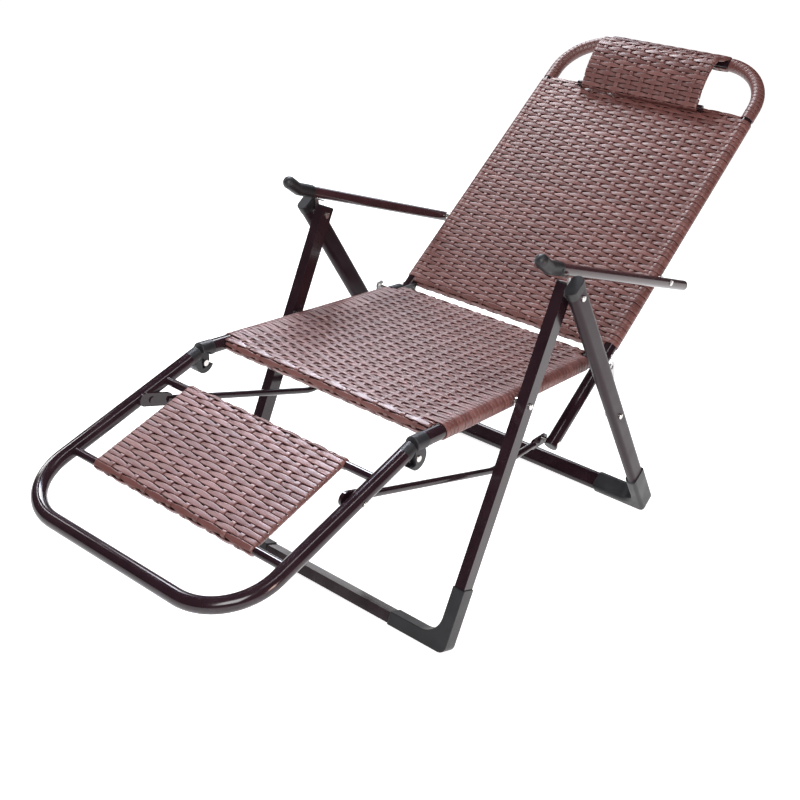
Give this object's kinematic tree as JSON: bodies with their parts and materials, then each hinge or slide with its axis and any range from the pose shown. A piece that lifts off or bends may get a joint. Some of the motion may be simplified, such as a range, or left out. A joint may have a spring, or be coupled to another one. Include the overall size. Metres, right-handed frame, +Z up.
{
  "type": "folding lounge chair",
  "caption": "Folding reclining lounge chair: A-shaped leg frame, woven seat, back and foot panels on tube frames, headrest, armrests and linked leg rest.",
  "frame": {"origin": "on the floor, under the middle of the whole chair as it stands with the back reclined", "axes": "+X towards the sitter's left, -Y towards the foot end, +Y towards the head end, +Z up"},
  "size_m": [0.6056, 1.5796, 0.8822],
  "materials": {
    "frame_metal": "dark brown gloss powder coat on steel tube",
    "wicker": "woven flat resin strands, satin",
    "cap_plastic": "black moulded plastic, fine satin",
    "bolt_steel": "bright plated steel",
    "plate_steel": "plated steel plate"
  },
  "bodies": {
    "front_frame": {"front_leg_left": "frame_metal", "front_leg_right": "frame_metal", "front_floor_bar": "frame_metal", "front_foot_cap_left": "cap_plastic", "front_foot_cap_right": "cap_plastic", "front_leg_top_cap_left": "cap_plastic", "front_leg_top_cap_right": "cap_plastic", "leg_pivot_bolts": "bolt_steel", "arm_bracket_left": "plate_steel", "arm_bracket_right": "plate_steel"},
    "rear_frame": {"rear_leg_left": "frame_metal", "rear_leg_right": "frame_metal", "rear_floor_bar": "frame_metal", "rear_foot_cap_left": "cap_plastic", "rear_foot_cap_right": "cap_plastic", "rear_leg_top_cap_left": "cap_plastic", "rear_leg_top_cap_right": "cap_plastic", "stay_bolts": "bolt_steel"},
    "stay_left": {"stay_link_left": "plate_steel"},
    "stay_right": {"stay_link_right": "plate_steel"},
    "seat": {"seat_rail_left": "frame_metal", "seat_rail_right": "frame_metal", "seat_front_bar": "frame_metal", "seat_rear_bar": "frame_metal", "seat_weave": "wicker", "seat_front_plug_left": "cap_plastic", "seat_front_plug_right": "cap_plastic", "seat_rear_plug_left": "cap_plastic", "seat_rear_plug_right": "cap_plastic", "seat_pivot_bolts": "bolt_steel", "back_pivot_bolts": "bolt_steel", "knee_bolts": "bolt_steel", "stay_studs": "bolt_steel"},
    "back": {"back_frame": "frame_metal", "back_upper_bar": "frame_metal", "back_lower_bar": "frame_metal", "back_weave": "wicker", "back_top_wraps": "wicker", "back_end_plugs": "cap_plastic", "link_rear_bolts": "bolt_steel", "arm_pivot_bolts": "bolt_steel", "headrest_bar": "frame_metal", "headrest_weave": "wicker"},
    "leg_rest": {"leg_rest_frame": "frame_metal", "leg_rest_rear_bar": "frame_metal", "leg_rest_front_bar": "frame_metal", "leg_rest_weave": "wicker", "link_front_bolts": "bolt_steel", "leg_rest_plug_left": "cap_plastic", "leg_rest_plug_right": "cap_plastic"},
    "link_left": {"recline_link_left": "frame_metal"},
    "link_right": {"recline_link_right": "frame_metal"},
    "arm_left": {"armrest_left": "frame_metal", "armrest_cap_left": "cap_plastic", "armrest_plug_left": "cap_plastic"},
    "arm_right": {"armrest_right": "frame_metal", "armrest_cap_right": "cap_plastic", "armrest_plug_right": "cap_plastic"}
  },
  "joints": [
    {"name": "leg_fold", "type": "hinge", "parent": "front_frame", "child": "rear_frame", "pos_m": [0, -0.05857, 0.5987], "axis": [1, 0, 0], "range_deg": [-54, 0]},
    {"name": "seat_fold", "type": "hinge", "parent": "front_frame", "child": "seat", "pos_m": [0, -0.13195, 0.41825], "axis": [1, 0, 0], "range_deg": [-93.5, 0]},
    {"name": "stay_left_swing", "type": "hinge", "parent": "rear_frame", "child": "stay_left", "pos_m": [0, 0.16777, 0.30159], "axis": [1, 0, 0], "range_deg": [-136, 0]},
    {"name": "stay_right_swing", "type": "hinge", "parent": "rear_frame", "child": "stay_right", "pos_m": [0, 0.16777, 0.30159], "axis": [1, 0, 0], "range_deg": [-136, 0]},
    {"name": "recline", "type": "hinge", "parent": "seat", "child": "back", "pos_m": [0, 0.19773, 0.39809], "axis": [1, 0, 0], "range_deg": [0, 41.4]},
    {"name": "leg_rest_swing", "type": "hinge", "parent": "seat", "child": "leg_rest", "pos_m": [0, -0.39475, 0.41329], "axis": [1, 0, 0], "range_deg": [0, 77.5]},
    {"name": "link_left_swing", "type": "hinge", "parent": "back", "child": "link_left", "pos_m": [0, 0.03846, 0.27094], "axis": [1, 0, 0], "range_deg": [-40, 0]},
    {"name": "link_right_swing", "type": "hinge", "parent": "back", "child": "link_right", "pos_m": [0, 0.03846, 0.27094], "axis": [1, 0, 0], "range_deg": [-40, 0]},
    {"name": "arm_left_swing", "type": "hinge", "parent": "back", "child": "arm_left", "pos_m": [0, 0.34513, 0.51575], "axis": [1, 0, 0], "range_deg": [-37, 0]},
    {"name": "arm_right_swing", "type": "hinge", "parent": "back", "child": "arm_right", "pos_m": [0, 0.34513, 0.51575], "axis": [1, 0, 0], "range_deg": [-37, 0]}
  ],
  "couplings": [
    {"joint": "seat_fold", "follows": "leg_fold", "ratio": 1.7051},
    {"joint": "stay_left_swing", "follows": "leg_fold", "ratio": 2.4756},
    {"joint": "stay_right_swing", "follows": "leg_fold", "ratio": 2.4756},
    {"joint": "leg_rest_swing", "follows": "recline", "ratio": 1.8374},
    {"joint": "link_left_swing", "follows": "recline", "ratio": -0.931},
    {"joint": "link_right_swing", "follows": "recline", "ratio": -0.931},
    {"joint": "arm_left_swing", "follows": "recline", "ratio": -0.867},
    {"joint": "arm_right_swing", "follows": "recline", "ratio": -0.867}
  ]
}
